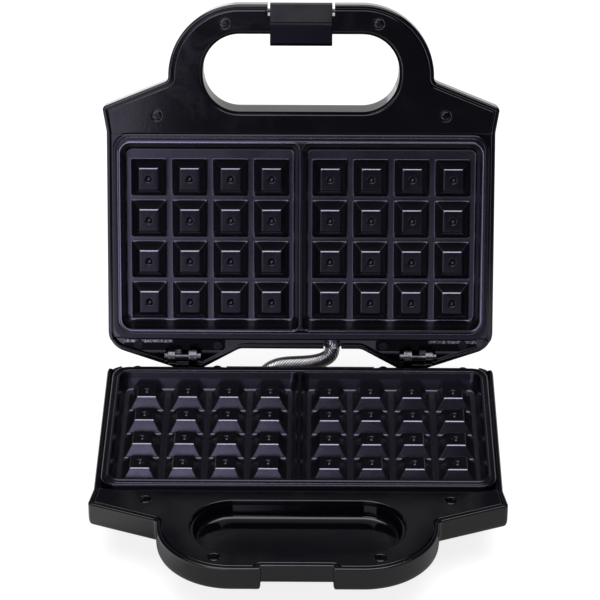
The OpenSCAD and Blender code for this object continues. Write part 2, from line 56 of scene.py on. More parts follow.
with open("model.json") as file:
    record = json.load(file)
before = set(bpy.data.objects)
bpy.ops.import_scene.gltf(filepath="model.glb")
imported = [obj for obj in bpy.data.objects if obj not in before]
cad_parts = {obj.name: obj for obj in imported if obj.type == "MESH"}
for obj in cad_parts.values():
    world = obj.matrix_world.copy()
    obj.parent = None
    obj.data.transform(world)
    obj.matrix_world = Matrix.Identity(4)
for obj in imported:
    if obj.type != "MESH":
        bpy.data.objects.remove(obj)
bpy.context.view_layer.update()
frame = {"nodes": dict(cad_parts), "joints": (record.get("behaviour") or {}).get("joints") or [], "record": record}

# ---- places read from the frame, in millimetres ----
MM = 0.001
JOINTS = {joint["name"]: joint for joint in frame["joints"]}
HINGE = np.array(JOINTS["lid_hinge"]["pos_m"]) / MM
PIVOT = np.array(JOINTS["latch_swing"]["pos_m"]) / MM
OPEN = math.radians(JOINTS["lid_hinge"]["range_deg"][1])


def corner_mm(node, side):
    """Lowest (0) or highest (1) corner of a node's box, in millimetres."""
    return np.array(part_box(node)[side]) / MM


HANDLE_R = HINGE[1] - corner_mm("base_shell", 0)[1]
PLATE_HW = corner_mm("lower_plate", 1)[0]
PLATE_R1 = HINGE[1] - corner_mm("lower_plate", 0)[1]
PLATE_R0 = HINGE[1] - corner_mm("lower_plate", 1)[1]
HOUSING_H = HINGE[2] - corner_mm("base_shell", 0)[2]


def place(points, half):
    """Half's millimetres to row metres: the base is the mirror image, the lid is turned open."""
    x, y, z = np.moveaxis(np.asarray(points, float), -1, 0)
    if half == "base":
        y, z = y, -z
    else:
        y, z = (y * math.cos(OPEN) + z * math.sin(OPEN), z * math.cos(OPEN) - y * math.sin(OPEN))
    return np.stack([x, y + HINGE[1], z + HINGE[2]], axis=-1) * MM


# ---- sizes and colours that a user would change ----
def length(name, description, millimetres):
    return FloatProperty(name=name, description=description, default=millimetres * MM, min=0.0,
                         unit="LENGTH", precision=4)


def colour(name, description, rgb):
    return FloatVectorProperty(name=name, description=description, default=rgb, size=3,
                               subtype="COLOR", min=0.0, max=1.0)


class HousingSizes(bpy.types.PropertyGroup):
    """Outline and edges of the two mouldings"""
    handle_w: length("Handle width", "Width of the carrying handle", 153.6)
    neck_r: length("Neck", "Distance from the hinge axis to the neck of the handle", 164.2)
    shoulder_r: length("Shoulder", "Distance from the hinge axis to the shoulder corners", 148.6)
    shoulder_w: length("Shoulder width", "Width between the two shoulder corners", 231.4)
    side_w: length("Side width", "Width of the sides behind the shoulders", 227.2)
    handle_corner: length("Handle corner", "Corner radius of the handle", 42.0)
    rim_w: length("Rim width", "Width of the raised rim round the panel", 2.6)
    rim_z: length("Rim height", "Edge of the rim, from the parting plane", 2.8)
    panel_z: length("Panel height", "Face of the panel, from the parting plane", 3.1)
    seat_z: length("Seat depth", "Ledge that panel and plate sit on", 5.1)
    shelf_z: length("Shelf depth", "Recess that carries the hinges", 7.4)
    skirt_h: length("Skirt depth", "Lower edge of the skirt", 17.6)
    latch_w: length("Latch width", "Width of the latch clip", 36.0)
    conduit_d: length("Conduit", "Diameter of the wound conduit", 9.0)
    winding: length("Winding", "Conduit length in which its strands move on by one strand", 2.0)


class PlateSizes(bpy.types.PropertyGroup):
    """Waffle pattern of the two plates"""
    pitch_x: length("Pitch across", "Distance between studs, across", 24.0)
    pitch_y: length("Pitch back", "Distance between studs, front to back", 24.65)
    first_x: length("First column", "First column of studs, from the middle", 17.14)
    first_r: length("First row", "First row of studs, from the hinge axis", 32.0)
    floor_z: length("Floor depth", "Floor between the studs", 10.6)
    stud_h: length("Stud height", "Height of a stud above the floor", 7.0)
    dimple: length("Dimple", "Diameter of the dimple in each stud", 4.2)


class Colours(bpy.types.PropertyGroup):
    """Base colours of the finishes"""
    shell: colour("Housing", "Moulded housing", (0.0014, 0.0014, 0.0021))
    panel: colour("Panel", "Inset panels", (0.0016, 0.0016, 0.0024))
    coating: colour("Coating", "Non-stick coating of the plates", (0.058, 0.055, 0.070))
    latch: colour("Latch", "Latch clip", (0.0030, 0.0028, 0.0038))
    steel: colour("Steel", "Bare steel of hinges and pins", (0.50, 0.50, 0.51))
    hinge: colour("Hinge", "Dark steel of the hinge leaves", (0.10, 0.10, 0.106))
    winding: colour("Winding", "Steel winding of the conduit", (0.74, 0.72, 0.70))


# the scene keeps each group under this name
GROUPS = {"waffle_housing": HousingSizes, "waffle_plate": PlateSizes, "waffle_colours": Colours}


def sizes(group="waffle_housing"):
    """One group's sizes in millimetres, as a plain dictionary."""
    data = getattr(bpy.context.scene, group)
    return {key: getattr(data, key) / MM for key in GROUPS[group].__annotations__}


def tint(key, times=1.0, plus=0.0):
    """A colour from the Colours group, scaled and lifted, with alpha."""
    rgb = getattr(bpy.context.scene.waffle_colours, key)
    return (*(min(1.0, times * c + plus) for c in rgb), 1.0)


# ---- shader maths ----
MARK = "mark"                         # point attribute that some finishes read


class Value:
    """A shader socket that takes part in Python expressions; each operator adds a Math node."""

    def __init__(self, shader, socket):
        self.shader = shader
        self.socket = socket

    def maths(self, operation, *values):
        return self.shader.value("ShaderNodeMath", {"operation": operation},
                                 dict(enumerate(values)))

    def __add__(self, other):
        return self.maths("ADD", self, other)

    def __radd__(self, other):
        return self.maths("ADD", other, self)

    def __sub__(self, other):
        return self.maths("SUBTRACT", self, other)

    def __rsub__(self, other):
        return self.maths("SUBTRACT", other, self)

    def __mul__(self, other):
        return self.maths("MULTIPLY", self, other)

    def __rmul__(self, other):
        return self.maths("MULTIPLY", other, self)

    def __truediv__(self, other):
        return self.maths("DIVIDE", self, other)

    def __rtruediv__(self, other):
        return self.maths("DIVIDE", other, self)

    def __abs__(self):
        return self.maths("ABSOLUTE", self)

    def clip(self):
        """Held between 0 and 1."""
        return self.maths("MAXIMUM", self.maths("MINIMUM", self, 1.0), 0.0)


class Shader:
    """Builds the node tree of one material or world."""

    def __init__(self, owner, output="ShaderNodeOutputMaterial"):
        owner.use_nodes = True
        self.owner = owner
        self.tree = owner.node_tree
        self.tree.nodes.clear()
        self.output = self.node(output)

    def node(self, kind, settings=None, sockets=None):
        """Adds a node: its settings first, then values or links for its sockets."""
        node = self.tree.nodes.new(kind)
        for key, value in (settings or {}).items():
            setattr(node, key, value)
        for key, value in (sockets or {}).items():
            if isinstance(value, Value):
                self.tree.links.new(value.socket, node.inputs[key])
            else:
                node.inputs[key].default_value = value
        return node

    def value(self, kind, settings=None, sockets=None, output=0):
        return Value(self, self.node(kind, settings, sockets).outputs[output])

    def point(self):
        """Object coordinates, in metres."""
        return self.value("ShaderNodeTexCoord", output="Object")

    def part(self, vector, axis):
        """One of the three numbers of a vector."""
        return self.value("ShaderNodeSeparateXYZ", None, {0: vector}, output=axis)

    def noise(self, scale, detail=3.0, rough=0.5, stretch=(1.0, 1.0, 1.0), warp=0.0):
        """Noise in features per metre, on Object coordinates stretched along the axes."""
        where = self.vector("MULTIPLY", self.point(), tuple(stretch))
        return self.value("ShaderNodeTexNoise", {"noise_dimensions": "3D"},
                          {"Vector": where, "Scale": scale, "Detail": detail, "Roughness": rough,
                           "Distortion": warp})

    def band(self, value, low, high):
        """0 below low, 1 above high, straight between."""
        return ((value - low) / (high - low)).clip()

    def mix(self, factor, first, second):
        """Mix of two colours."""
        return self.value("ShaderNodeMix", {"data_type": "RGBA"},
                          {"Factor": factor, 6: first, 7: second}, output=2)

    def bump(self, height, strength, distance):
        return self.value("ShaderNodeBump", None,
                          {"Height": height, "Strength": strength, "Distance": distance},
                          output="Normal")

    def mark(self):
        """The number that the piece carries for each of its points."""
        return self.value("ShaderNodeAttribute", {"attribute_name": MARK}, output="Fac")

    def vector(self, operation, *values, output="Vector"):
        """A Vector Math node; a dot product or a length comes out of its Value socket."""
        return self.value("ShaderNodeVectorMath", {"operation": operation},
                          dict(enumerate(values)), output)

    def edge_sheen_and_wear(self, reach):
        """1 on tight edges, from the Bevel node's turned normal; 0 on flats."""
        bevel = self.value("ShaderNodeBevel", {"samples": 4}, {"Radius": reach})
        flat = self.value("ShaderNodeNewGeometry", output="Normal")
        return self.band(1.0 - self.vector("DOT_PRODUCT", bevel, flat, output="Value"), 0.01, 0.12)

    def close(self, surface):
        """Links the last shader to the output and gives back the finished material."""
        self.tree.links.new(surface.socket, self.output.inputs["Surface"])
        return self.owner

    def finish(self, **sockets):
        """Closes the tree with a Principled shader; keys are socket names with _ for a space."""
        named = {key.replace("_", " "): value for key, value in sockets.items()}
        return self.close(self.value("ShaderNodeBsdfPrincipled", None, named))


def material(name):
    return Shader(bpy.data.materials.new(name))


# ---- meshes ----
MERGE_M = 2e-6                        # points this close are one
SPECK_M = 1e-7                        # shorter edges are dissolved


class Skin:
    """Gathers the grids, rings and flat fills of one closed piece, in half-frame millimetres."""

    def __init__(self):
        self.points = []
        self.faces = []
        self.count = 0

    def add(self, points, faces):
        points = np.asarray(points, float).reshape(-1, 3)
        self.points.append(points)
        self.faces.extend((np.asarray(faces) + self.count).tolist())
        self.count += len(points)

    def grid(self, points, closed=False):
        """Quads over points[row, column]; closed joins the last column to the first."""
        rows, columns = points.shape[:2]
        index = np.arange(rows * columns).reshape(rows, columns)
        if closed:
            index = np.concatenate([index, index[:, :1]], axis=1)
        quads = np.stack([index[:-1, :-1], index[:-1, 1:], index[1:, 1:], index[1:, :-1]], axis=-1)
        self.add(points, quads.reshape(-1, 4))

    def fan(self, ring, tip):
        """Triangles from a closed ring to one point."""
        count = len(ring)
        around = np.arange(count)
        faces = np.stack([around, (around + 1) % count, np.full(count, count)], axis=-1)
        self.add(np.vstack([ring, [tip]]), faces)

    def turned(self, centre, profile):
        """Turned surface about centre; profile lists (radius, z)."""
        rings = np.stack([circle(centre, radius, z) for radius, z in profile])
        self.grid(rings, closed=True)
        return rings

    def fill(self, outer, holes, z):
        """Flat face at depth z inside the outer loop and outside the holes (Delaunay triangles)."""
        loops = [np.asarray(loop)[:, :2] for loop in [outer, *holes]]
        points = np.vstack(loops)
        edges = []
        start = 0
        for loop in loops:
            around = np.arange(len(loop))
            edges += (np.stack([around, (around + 1) % len(loop)], axis=-1) + start).tolist()
            start += len(loop)
        out, _, faces, *_ = geometry.delaunay_2d_cdt([Vector(p) for p in points], edges, [],
                                                     0, 1e-6)
        out = np.array([tuple(p) for p in out])
        faces = np.array([f for f in faces if len(f) == 3])
        middle = out[faces].mean(axis=1)
        keep = inside(middle, loops[0])
        for hole in loops[1:]:
            keep &= ~inside(middle, hole)
        self.add(np.column_stack([out, np.full(len(out), z)]), faces[keep])

    def sweep(self, centres, across, up, ring):
        """Closed tube: ring[k, side] = (a, b) lies at centre k + a across + b up; fans cap it."""
        points = (centres[:, None] + ring[..., :1] * across[:, None] + ring[..., 1:] * up[:, None])
        self.grid(points, closed=True)
        self.fan(points[0], centres[0])
        self.fan(points[-1], centres[-1])

    def piece(self, name, half, body, finish, crease=35.0, cuts=(), mark=None):
        """Makes the object, with its boxes cut away, riding on body. Edges sharper than crease
        degrees stay hard. mark is a number for each point, for the finish to read."""
        mesh = bpy.data.meshes.new(name)
        points = np.vstack(self.points)
        points = points * MM if half is None else place(points, half)
        mesh.from_pydata(points.tolist(), [], self.faces)
        if mark is not None:
            mesh.attributes.new(MARK, "FLOAT", "POINT").data.foreach_set("value", mark)
        cleaned(mesh)
        made = linked(name, mesh)
        for low, high in cuts:
            cut(made, low, high, half)
        mesh = made.data
        mesh.polygons.foreach_set("use_smooth", np.ones(len(mesh.polygons), bool))
        mesh.set_sharp_from_angle(angle=math.radians(crease))
        mesh.materials.clear()
        mesh.materials.append(finish)
        flats = made.modifiers.new("flats", "WEIGHTED_NORMAL")
        flats.keep_sharp = True
        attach(made, body)
        return made


def linked(name, data):
    """New object in the scene."""
    made = bpy.data.objects.new(name, data)
    bpy.context.scene.collection.objects.link(made)
    return made


def cleaned(mesh):
    """Merges points that are one, dissolves specks of edges and turns the normals outward."""
    work = bmesh.new()
    work.from_mesh(mesh)
    bmesh.ops.remove_doubles(work, verts=work.verts, dist=MERGE_M)
    bmesh.ops.dissolve_degenerate(work, edges=work.edges, dist=SPECK_M)
    bmesh.ops.recalc_face_normals(work, faces=work.faces)
    work.to_mesh(mesh)
    work.free()


def cut(made, low, high, half):
    """Takes a box, in half-frame millimetres, out of a closed piece, for good."""
    corners = np.array(np.meshgrid(*zip(low, high), indexing="ij")).reshape(3, -1).T
    faces = [(0, 1, 3, 2), (4, 6, 7, 5), (0, 4, 5, 1), (2, 3, 7, 6), (0, 2, 6, 4), (1, 5, 7, 3)]
    box = bpy.data.meshes.new("cut")
    box.from_pydata(place(corners, half).tolist(), [], faces)
    cleaned(box)
    tool = linked("cut", box)
    boolean = made.modifiers.new("cut", "BOOLEAN")
    boolean.operation = "DIFFERENCE"
    boolean.solver = "EXACT"
    boolean.use_self = True
    boolean.object = tool
    graph = bpy.context.evaluated_depsgraph_get()
    mesh = bpy.data.meshes.new_from_object(made.evaluated_get(graph))
    made.modifiers.clear()
    made.data = mesh
    bpy.data.objects.remove(tool)


def dress(skin, name, half, body, finish, node, slot, **more):
    """Makes the piece that replaces a CAD node, and hides the node; slot is not used."""
    made = skin.piece(name, half, body, finish, **more)
    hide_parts(node)
    return made


def inside(points, loop):
    """True where a point is inside a closed loop, by counting the edges it has to its right."""
    a, b = loop, np.roll(loop, -1, axis=0)
    px, py = points[:, :1], points[:, 1:2]
    crosses = (a[:, 1] > py) != (b[:, 1] > py)
    rise = np.where(b[:, 1] == a[:, 1], 1.0, b[:, 1] - a[:, 1])
    at = a[:, 0] + (py - a[:, 1]) / rise * (b[:, 0] - a[:, 0])
    return (crosses & (px < at)).sum(axis=1) % 2 == 1


def unit(vectors):
    """Vectors scaled to length 1."""
    return vectors / np.linalg.norm(vectors, axis=-1, keepdims=True)


ROUND_STEPS = 32                      # points round a turned surface
LEAST_R = 0.25                        # no corner arc gets tighter, in millimetres
ARC_STEPS = (5, 34)                   # fewest and most steps to a corner arc


class Outline:
    """Closed anticlockwise outline: corner points, their radii, and how many steps each arc has."""

    def __init__(self, corners, mirrored=True, steps=None):
        """corners lists [x, y, radius]; a mirrored outline lists its right half, front to rear."""
        corners = np.array(corners, float)
        if mirrored:
            corners = np.vstack([corners, corners[::-1] * [-1.0, 1.0, 1.0]])
        self.points, self.radii = corners[:, :2], corners[:, 2]
        self.steps = np.clip(np.round(self.radii * 0.8), *ARC_STEPS).astype(int)
        if steps:
            self.steps[:] = steps

    def moved(self, inset):
        """Corner points after every edge has moved inward by inset: each goes along the sum of
        its two edge normals, divided by 1 + their dot product."""
        before = unit(self.points - np.roll(self.points, 1, axis=0))
        after = unit(np.roll(self.points, -1, axis=0) - self.points)
        nb = np.stack([-before[:, 1], before[:, 0]], axis=-1)
        na = np.stack([-after[:, 1], after[:, 0]], axis=-1)
        return self.points + inset * (nb + na) / (1 + (nb * na).sum(axis=1, keepdims=True))

    def ring(self, inset=0.0, z=0.0):
        """Outline moved inward by inset at depth z. Each corner is an arc that touches both edges:
        its centre lies on the bisector, radius / sin(half the corner angle) from the corner."""
        points = self.moved(inset)
        before, after = np.roll(points, 1, axis=0), np.roll(points, -1, axis=0)
        arcs = []
        for p, a, c, radius, steps in zip(points, before, after, self.radii, self.steps):
            u, v = unit(a - p), unit(c - p)
            turn = np.sign((p - a)[0] * (c - p)[1] - (p - a)[1] * (c - p)[0])
            radius = max(LEAST_R, radius - inset * turn)
            half = math.acos(np.clip(u @ v, -1, 1)) / 2
            centre = p + unit(u + v) * radius / math.sin(half)
            start = p + u * radius / math.tan(half) - centre
            end = p + v * radius / math.tan(half) - centre
            first = math.atan2(start[1], start[0])
            sweep = math.atan2(start[0] * end[1] - start[1] * end[0], start @ end)
            angle = first + sweep * np.linspace(0, 1, steps + 1)
            arcs.append(centre + radius * np.stack([np.cos(angle), np.sin(angle)], axis=-1))
        flat = np.vstack(arcs)
        return np.column_stack([flat, np.broadcast_to(z, len(flat))])

    def rings(self, profile):
        """Stack of rings for a profile of (inset, z) pairs."""
        return np.stack([self.ring(inset, z) for inset, z in profile])


def box_outline(hx, r0, r1, radius, steps=None):
    """Rounded box: half width, distances of its rear and front edges from the hinge axis."""
    return Outline([[hx, -r1, radius], [hx, -r0, radius]], steps=steps)


def loft(first, last, profile):
    """Rings between two outlines of as many points: first + share (last - first), at depth z."""
    a, b = first.ring()[:, :2], last.ring()[:, :2]
    share, z = np.array(profile, float).T
    flat = a + share[:, None, None] * (b - a)
    return np.concatenate([flat, np.broadcast_to(z[:, None, None], flat.shape[:2] + (1,))], axis=2)


def bend(first, knee, last, steps=5):
    """Points of a rounded bend: (1-t)^2 first + 2t(1-t) knee + t^2 last, for t from 0 to 1."""
    t = np.linspace(0, 1, steps + 1)[:, None]
    a, b, c = np.array(first, float), np.array(knee, float), np.array(last, float)
    return ((1 - t) ** 2 * a + 2 * t * (1 - t) * b + t ** 2 * c).tolist()


def circle(centre, radius, z):
    """Ring of points about a centre, at depth z."""
    angle = np.linspace(0, 2 * math.pi, ROUND_STEPS, endpoint=False)
    return np.column_stack([centre[0] + radius * np.cos(angle), centre[1] + radius * np.sin(angle),
                            np.full(len(angle), float(z))])


def quarter(radius, start):
    """Quarter-round edge profile, from the face at start (inset, z) out and down to the side."""
    inset, z = start
    angle = np.linspace(0, math.pi / 2, 5)
    return [(inset + radius * (1 - math.sin(a)), z + radius * (1 - math.cos(a))) for a in angle]


def smooth_curve(knots, steps):
    """Catmull-Rom curve through the knots, with steps points to a span."""
    knots = np.asarray(knots, float)
    ends = np.vstack([2 * knots[0] - knots[1], knots, 2 * knots[-1] - knots[-2]])
    a, b, c, d = ends[:-3], ends[1:-2], ends[2:-1], ends[3:]
    t = np.linspace(0, 1, steps, endpoint=False)[:, None, None]
    curve = 0.5 * (2 * b + (c - a) * t + (2 * a - 5 * b + 4 * c - d) * t ** 2
                   + (3 * b - a - 3 * c + d) * t ** 3)
    return np.vstack([curve.transpose(1, 0, 2).reshape(-1, knots.shape[1]), knots[-1:]])


# ---- outlines of the mouldings ----
SCREWS = [(side * x, y) for x, y in ((84.0, -143.8), (44.6, -197.7)) for side in (-1, 1)]
NOTCH_HW = 19.4                       # half width of the latch notch
NOTCH_R = {"base": 205.8, "lid": 202.0, "catch": 199.4}
CATCH_Z = 13.4                        # the base's notch is deeper below this catch edge
RIM_RINGS = 10                        # rings of a moulding from its seat over the rim
REAR_RIM_Z = {"base": 5.2, "lid": 4.5}              # edge of the rim behind the plate
HOLE = dict(hx=57.0, r0=146.0, r1=191.4, radius=21.5)
HOLE_LEDGE = 1.5                      # ledge of the housing that shows round the finger hole
CONDUIT_SLOT = ((13.8, -12.5, 1), (24.2, 12.5, 15.5))       # corners of the lid's opening for it
WELL_LEDGE, WELL_FLOOR = 3.0, 14.2    # ledge round the well behind the plate, and its floor
BOWL_R = 70                           # middle of the bowl, from the hinge axis
POCKET_FLOOR = 13.2
# wall of the base's finger pocket below its edge: (inset, z)
POCKET = [(0.2, 7.5), (0.45, 10.2), (0.75, 11.6), (1.2, 12.3), (1.9, 12.8), (3.2, 13.05),
          (8.0, 13.15), (16.0, POCKET_FLOOR)]
HOLE_LEAN = [0.0, 0.7, 1.5, 1.9, 2.0, 2.0, 2.0]     # shift of the hole's wall to the handle
REAR_FEET = ((-82.0, -20.0), (82.0, -20.0))
FOOT_BOSS = ((9.0, 28.5), (9.0, 35.0), (8.8, 35.5), (8.3, 35.7))     # (radius, z)
PANEL_GAP, PANEL_EDGE = 0.55, 0.6     # gap between rim and panel, radius of the panel's edges
SCREW_SINK = [(3.75, 0), (3.45, 0), (3.25, 0.12), (3.15, 0.45), (3.1, 1.0), (1.7, 1.0)]
SCREW_DOME = [(0.3, 0.18), (1.2, 0.2), (2.1, 0.27), (2.6, 0.4), (2.85, 0.62), (2.9, 0.95),
              (1.4, 0.98), (1.4, 9.9)]              # (radius, depth below the panel's face)
SLOT_LONG, SLOT_THIN, SLOT_DEEP = 1.8, 0.42, 0.9    # half length, half width, depth


def front_corners(half, s, notch_r=NOTCH_R["base"]):
    """Corners of the right half from the latch notch to the side; the lid's notch is cut later."""
    hw = s["handle_w"] / 2
    notch = [] if half == "lid" else [[NOTCH_HW, -notch_r, 0.5], [NOTCH_HW, -HANDLE_R, 0.9]]
    return notch + [[hw, -HANDLE_R, s["handle_corner"]], [hw + 0.4, -s["neck_r"], 3.0],
                    [s["shoulder_w"] / 2, -s["shoulder_r"], 2.5]]


def shell_outline(half, s, notch_r=NOTCH_R["base"]):
    """Outline of a moulding; the lid's rear edge steps back between its two hinge arms."""
    side = s["side_w"] / 2
    rear = [[side, -1.5, 11]]
    if half == "lid":
        rear = [[side, -5, 13], [74, 8.2, 9], [58, 8.2, 5], [36, -3.7, 8]]
    return Outline(front_corners(half, s, notch_r) + [[side - 0.4, -134, 6]] + rear)


def panel_outline(half, s):
    """Outline that the inset panel is offset from; its rear edge meets the plate's flange."""
    return Outline(front_corners(half, s) + [[s["side_w"] / 2 - 0.4, -129.9, 4]])


# ---- housing ----
def bowl_profile():
    """(inset, z) of the bowl behind the plate: a smooth curve from the skirt to its flat back."""
    return smooth_curve([[-0.4, 14.4], [-1.1, 16.0], [-0.5, 22.0], [2.2, 27.0], [7.0, 31.5],
                         [13.0, 34.6], [21.0, HOUSING_H]], 4)


def skirt_rings(half, s):
    """Outline carried down the profile of the rim, side and turned-in skirt; the base's notch is
    deeper below the catch edge."""
    rim, seat, skirt, w = s["rim_z"], s["seat_z"], s["skirt_h"], s["rim_w"]
    outline = shell_outline(half, s)
    top = [(w, seat), (w, rim + 0.5), (w - 0.12, rim + 0.15), (w - 0.4, rim), (1.3, rim),
           (0.75, rim + 0.06), (0.35, rim + 0.25), (0.08, rim + 0.65), (0.0, rim + 1.2),
           (0.0, rim + 1.8)]
    side = [(0.0, 11.5), (0.04, 13.2), (0.15, 14.5), (0.36, 15.5), (0.75, 16.4), (1.3, 17.0),
            (2.05, skirt - 0.2), (3.1, skirt), (5.0, skirt)]
    rings = outline.rings(top + side)
    if half == "base":
        deep = shell_outline(half, s, NOTCH_R["catch"])
        edge = [(0.05, CATCH_Z)]
        above = [p for p in top + side if p[1] < CATCH_Z]
        below = [p for p in side if p[1] > CATCH_Z]
        rings = np.concatenate([outline.rings(above + edge), deep.rings(edge + below)])
    return rings


def rear_edge(rings, half, s):
    """Lowers the rim behind the plate, where the hinges stand. The second result is true for the
    points that lie behind it."""
    behind = rings[3, :, 1] > -(PLATE_R0 - 0.3)
    rings = rings.copy()
    rim = rings[:RIM_RINGS, :, 2]
    low = np.where(behind, REAR_RIM_Z[half] - s["rim_z"], 0.0)
    rim[:] = np.where(rim < s["seat_z"] - 0.01, rim + low, rim)
    rings[0, :, 2] = np.where(behind, s["shelf_z"], s["seat_z"])
    return rings, behind


def housing(half):
    """Skin of one moulding: rim and skirt rings, seat, plate well, finger hole or pocket, bowl.
    Each wall is its outline moved inward and down a profile of (inset, z)."""
    s = sizes()
    skin = Skin()
    rings, behind = rear_edge(skirt_rings(half, s), half, s)
    skin.grid(rings, closed=True)
    seat = rings[0]
    well = box_outline(PLATE_HW - WELL_LEDGE, PLATE_R0 + WELL_LEDGE, PLATE_R1 - WELL_LEDGE, 7)
    hole = box_outline(**HOLE)
    # seat in front of the step, shelf behind it
    rear = seat[behind]
    start = int(np.argmax(behind))
    front = np.roll(seat, -(start + behind.sum()), axis=0)[:len(seat) - len(rear)]
    skin.fill(front, [well.ring(), hole.ring()], s["seat_z"])
    skin.fill(rear, [], s["shelf_z"])
    skin.add(np.array([front[-1], rear[0], rear[-1], front[0]]), [[0, 1, 2, 3]])
    skin.grid(well.rings([(0, s["seat_z"]), (0, WELL_FLOOR)]), closed=True)
    skin.fan(well.ring(0, WELL_FLOOR), [0, -(PLATE_R0 + PLATE_R1) / 2, WELL_FLOOR])
    if half == "base":
        wall = hole.rings([(0, s["seat_z"])] + POCKET)
        skin.grid(wall, closed=True)
        skin.fan(wall[-1], [0, -(HOLE["r0"] + HOLE["r1"]) / 2, POCKET_FLOOR])
        skin.fill(rings[-1], [], s["skirt_h"])
    else:
        wall = hole.rings([(0.0, s["seat_z"]), (0.1, 9.0), (0.2, 13.5), (0.3, 15.6), (0.1, 16.9),
                           (-0.5, s["skirt_h"] - 0.15), (-1.4, s["skirt_h"])])
        wall[:, :, 1] -= np.array(HOLE_LEAN)[:, None]
        skin.grid(wall, closed=True)
        skin.fill(rings[-1], [wall[-1]], s["skirt_h"])
    # the bowl is a closed loft of its own that stands in the skirt
    side = s["side_w"] / 2 - 0.8
    stack = Outline([[side, -133, 15], [side, -3.7, 15]]).rings(bowl_profile())
    skin.grid(stack, closed=True)
    skin.fan(stack[0], [0, -BOWL_R, stack[0, 0, 2]])
    skin.fan(stack[-1], [0, -BOWL_R, HOUSING_H])
    for foot in REAR_FEET if half == "base" else ():
        boss = skin.turned(foot, FOOT_BOSS)
        skin.fan(boss[0], [*foot, FOOT_BOSS[0][1]])
        skin.fan(boss[-1], [*foot, FOOT_BOSS[-1][1]])
    return skin


def panel(half):
    """Skin of an inset panel: flat face with quarter-round edges, finger hole, four screw holes."""
    s = sizes()
    skin = Skin()
    top, seat = s["panel_z"], s["seat_z"]
    gap = s["rim_w"] + PANEL_GAP
    profile = [(gap + PANEL_EDGE + 0.5, top)] + quarter(PANEL_EDGE, (gap, top)) + [(gap, seat)]
    outer = panel_outline(half, s).rings(profile)
    inner = box_outline(**HOLE).rings([(gap - HOLE_LEDGE - inset, z) for inset, z in profile])
    skin.grid(outer, closed=True)
    skin.grid(inner, closed=True)
    sink = [(radius, top + z) for radius, z in SCREW_SINK] + [(SCREW_SINK[-1][0], seat)]
    screws = [skin.turned(centre, sink) for centre in SCREWS]
    skin.fill(outer[0], [inner[0]] + [rings[0] for rings in screws], top)
    skin.fill(outer[-1], [inner[-1]] + [rings[-1] for rings in screws], seat)
    return skin


def panel_screws():
    """Skin of the four screws in a panel, and the boxes of their cross slots: each head is a low
    turned dome with a rolled edge, on a plain shank."""
    skin = Skin()
    top = sizes()["panel_z"]
    slots = []
    for x, y in SCREWS:
        rings = skin.turned((x, y), [(radius, top + z) for radius, z in SCREW_DOME])
        skin.fan(rings[0], [x, y, top + 0.17])
        skin.fan(rings[-1], [x, y, top + SCREW_DOME[-1][1]])
        for hx, hy in ((SLOT_LONG, SLOT_THIN), (SLOT_THIN, SLOT_LONG)):
            slots.append(((x - hx, y - hy, top - 1), (x + hx, y + hy, top + SLOT_DEEP)))
    return skin, slots


# ---- waffle plates ----
RIM_Z, BEAD_Z = 0.7, 0.2              # flange and bead, from the parting plane
CAVITY = {"lip": [1.1, 105.6, 16.3, 127.5], "floor": [3.9, 102.7, 19.8, 123.3]}
STUD = {"foot": (10.13, 10.75), "top": (5.58, 6.36)}    # half sizes, across and back
BRINK = slice(8, 12)                  # rings of a stud's rounded upper edge


def cavity_outline(level, side, outer, inner):
    """Rounded box of one cavity; outer and inner are its corner radii away from and at the rib."""
    x0, x1, r0, r1 = CAVITY[level]
    corners = [[x0, -r1, inner], [x1, -r1, outer], [x1, -r0, outer], [x0, -r0, inner]]
    if side < 0:
        corners = [[-x, y, radius] for x, y, radius in corners[::-1]]
    return Outline(corners, mirrored=False, steps=9)


def stud_rings(p):
    """Rings of one stud about its middle: a four-sided pyramid with soft edges, cut flat at the
    top, with a round dimple. Shares of 0 and 1 are the foot and the top."""
    floor, top = p["floor_z"], p["floor_z"] - p["stud_h"]

    def slope(share):
        return [share, floor - share * p["stud_h"]]

    foot, crown = (Outline([[hx, -hr, radius], [hx, hr, radius]], steps=5)
                   for (hx, hr), radius in ((STUD["foot"], 1.0), (STUD["top"], 0.75)))
    side = bend([-0.13, floor], [0, floor], slope(0.15)) + [slope(0.5)] \
        + bend(slope(0.9), [1, top], [1.12, top])
    rings = loft(foot, crown, side)
    count = rings.shape[1]
    angle = (np.arange(count) - (count / 4 - 1) / 2) * 2 * math.pi / count - math.pi / 4
    radius = p["dimple"] / 2
    dish = bend([1.2, 0.0], [1.0, 0.0], [0.9, 0.4], 4) + [[0.7, 1.1]] \
        + bend([0.5, 1.6], [0.4, 1.9], [0.04, 1.9], 3)
    share, drop = np.array(dish).T
    round_ = np.stack([radius * share[:, None] * np.cos(angle),
                       radius * share[:, None] * np.sin(angle),
                       np.broadcast_to((top + drop)[:, None], (len(dish), len(angle)))], axis=-1)
    return np.concatenate([rings, round_])


